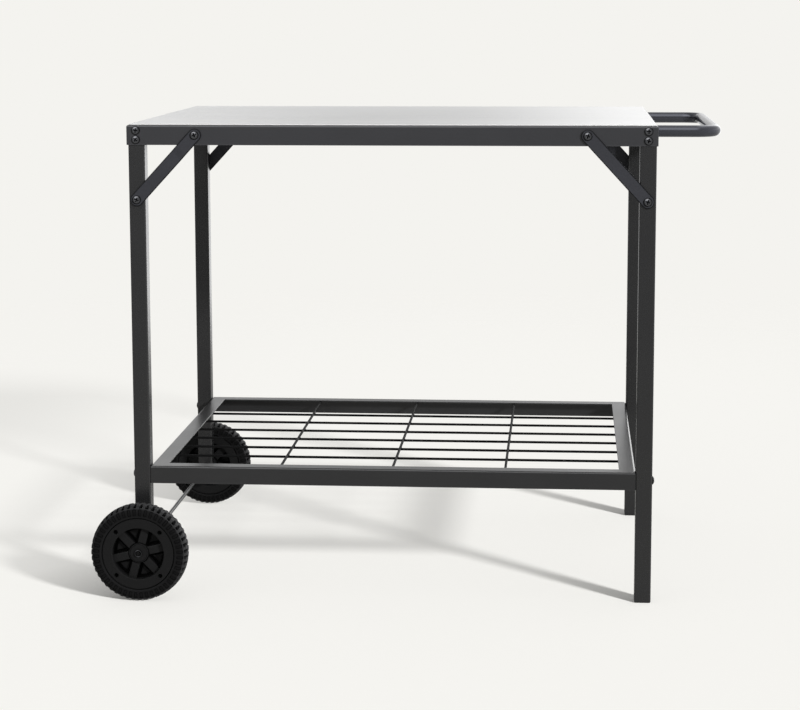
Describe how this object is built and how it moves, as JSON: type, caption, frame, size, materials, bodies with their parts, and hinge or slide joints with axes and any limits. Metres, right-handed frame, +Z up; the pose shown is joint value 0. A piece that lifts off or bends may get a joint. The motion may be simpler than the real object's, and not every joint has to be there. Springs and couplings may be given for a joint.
{
  "type": "griddle cart",
  "caption": "Rolling outdoor griddle cart with a flat stainless worktop, black tube frame, wire shelf, side push handle and wheels at one end.",
  "frame": {"origin": "on the floor, under the middle of the whole cart's bounding box", "axes": "+X along the cart towards the push handle, +Y from the front to the rear, +Z up"},
  "size_m": [0.9606, 0.692, 0.73],
  "materials": {
    "worktop_steel": "brushed along the length",
    "frame_paint": "satin black powder coat",
    "shelf_paint": "satin black powder coat",
    "wire_paint": "semi-gloss black",
    "handle_paint": "semi-gloss black",
    "fastener_black": "black oxide",
    "zinc_steel": "zinc plated",
    "axle_steel": "drawn steel rod",
    "tyre_black": "matt black",
    "rim_plastic": "matt black moulding",
    "foot_plastic": "matt black moulding"
  },
  "bodies": {
    "frame": {"worktop_plate": "worktop_steel", "worktop_studs": "zinc_steel", "worktop_nuts": "zinc_steel", "left_stiffener": "frame_paint", "right_stiffener": "frame_paint", "front_apron": "frame_paint", "rear_apron": "frame_paint", "left_apron": "frame_paint", "right_apron": "frame_paint", "front_left_leg": "frame_paint", "front_right_leg": "frame_paint", "rear_left_leg": "frame_paint", "rear_right_leg": "frame_paint", "front_left_leg_plug": "foot_plastic", "rear_left_leg_plug": "foot_plastic", "front_right_foot": "foot_plastic", "rear_right_foot": "foot_plastic", "front_left_brace": "frame_paint", "front_right_brace": "frame_paint", "rear_left_brace": "frame_paint", "rear_right_brace": "frame_paint", "front_left_bolts": "fastener_black", "front_right_bolts": "fastener_black", "rear_left_bolts": "fastener_black", "rear_right_bolts": "fastener_black", "front_left_shelf_bolt": "fastener_black", "front_right_shelf_bolt": "fastener_black", "rear_left_shelf_bolt": "fastener_black", "rear_right_shelf_bolt": "fastener_black", "weld_nuts": "zinc_steel", "shelf_nuts": "zinc_steel", "shelf_front_rail": "shelf_paint", "shelf_rear_rail": "shelf_paint", "shelf_left_rail": "shelf_paint", "shelf_right_rail": "shelf_paint", "shelf_long_wires": "wire_paint", "shelf_cross_wires": "wire_paint", "handle": "handle_paint", "handle_inserts": "zinc_steel", "handle_bolts": "fastener_black", "axle": "axle_steel", "front_axle_washer": "zinc_steel", "rear_axle_washer": "zinc_steel", "front_axle_retainer": "fastener_black", "rear_axle_retainer": "fastener_black"},
    "front_wheel": {"front_tyre": "tyre_black", "front_rim": "rim_plastic"},
    "rear_wheel": {"rear_tyre": "tyre_black", "rear_rim": "rim_plastic"}
  },
  "joints": [
    {"name": "front_wheel_spin", "type": "hinge", "parent": "frame", "child": "front_wheel", "pos_m": [-0.40525, -0.326, 0.075], "axis": [0, 1, 0], "continuous": true},
    {"name": "rear_wheel_spin", "type": "hinge", "parent": "frame", "child": "rear_wheel", "pos_m": [-0.40525, 0.326, 0.075], "axis": [0, 1, 0], "continuous": true}
  ]
}
